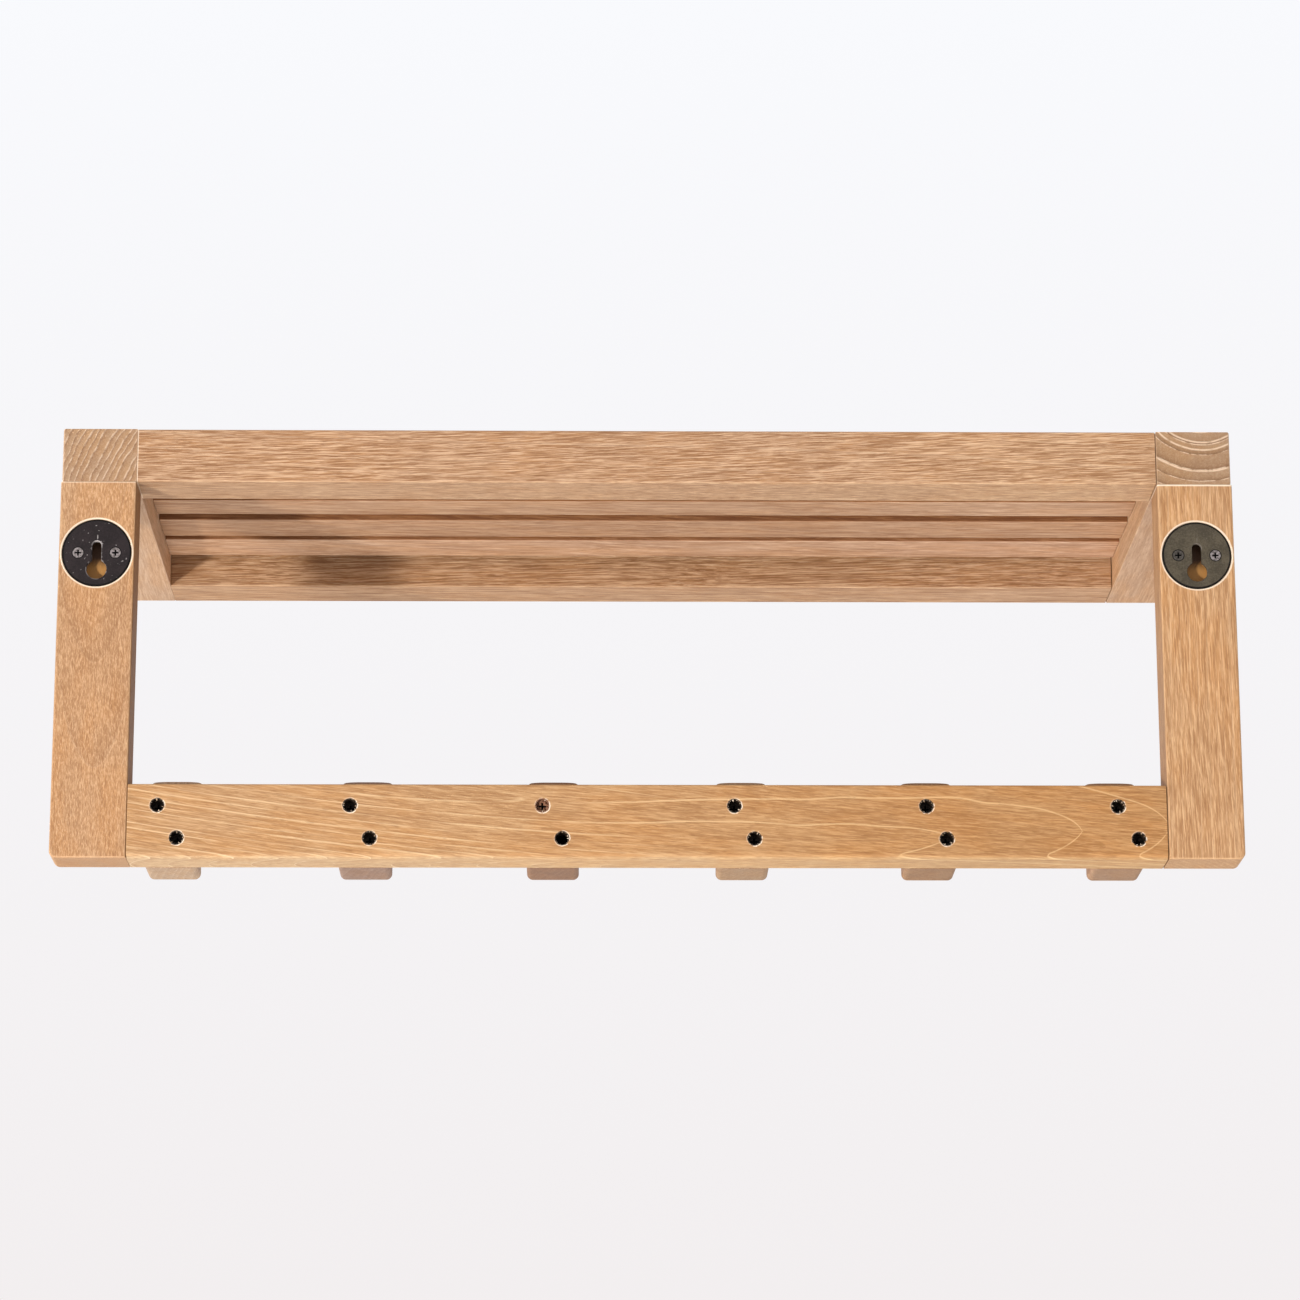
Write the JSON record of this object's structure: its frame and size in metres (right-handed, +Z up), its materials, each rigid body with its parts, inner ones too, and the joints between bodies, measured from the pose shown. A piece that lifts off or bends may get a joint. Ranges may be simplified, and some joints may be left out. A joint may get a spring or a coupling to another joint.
{
  "type": "wall shelf with coat hooks",
  "caption": "Wooden wall shelf: a slatted top on side arms and posts, a lower rail with upturned coat hooks, and round keyhole hanger plates let into the back.",
  "frame": {"origin": "on the wall plane, midway between the entry holes of the two keyhole plates", "axes": "+X to the right as seen from the front, +Y into the wall, +Z up"},
  "size_m": [0.6, 0.227, 0.2248],
  "materials": {
    "teak": "oiled and sanded",
    "black_plate": "satin black",
    "zinc_screw": "zinc plated",
    "beech": "plain"
  },
  "bodies": {
    "root": {"left_post": "teak", "left_arm": "teak", "left_keyhole_plate": "black_plate", "left_plate_screws": "zinc_screw", "left_post_dowels": "beech", "right_post": "teak", "right_arm": "teak", "right_keyhole_plate": "black_plate", "right_plate_screws": "zinc_screw", "right_post_dowels": "beech", "shelf_back_rail": "teak", "shelf_front_rail": "teak", "back_rail_dowels": "beech", "front_rail_dowels": "beech", "hook_rail_dowels": "beech", "slat_1": "teak", "slat_2": "teak", "slat_3": "teak", "slat_4": "teak", "hook_rail": "teak", "hook_1": "teak", "hook_1_screws": "zinc_screw", "hook_2": "teak", "hook_2_screws": "zinc_screw", "hook_3": "teak", "hook_3_screws": "zinc_screw", "hook_4": "teak", "hook_4_screws": "zinc_screw", "hook_5": "teak", "hook_5_screws": "zinc_screw", "hook_6": "teak", "hook_6_screws": "zinc_screw"}
  },
  "joints": []
}
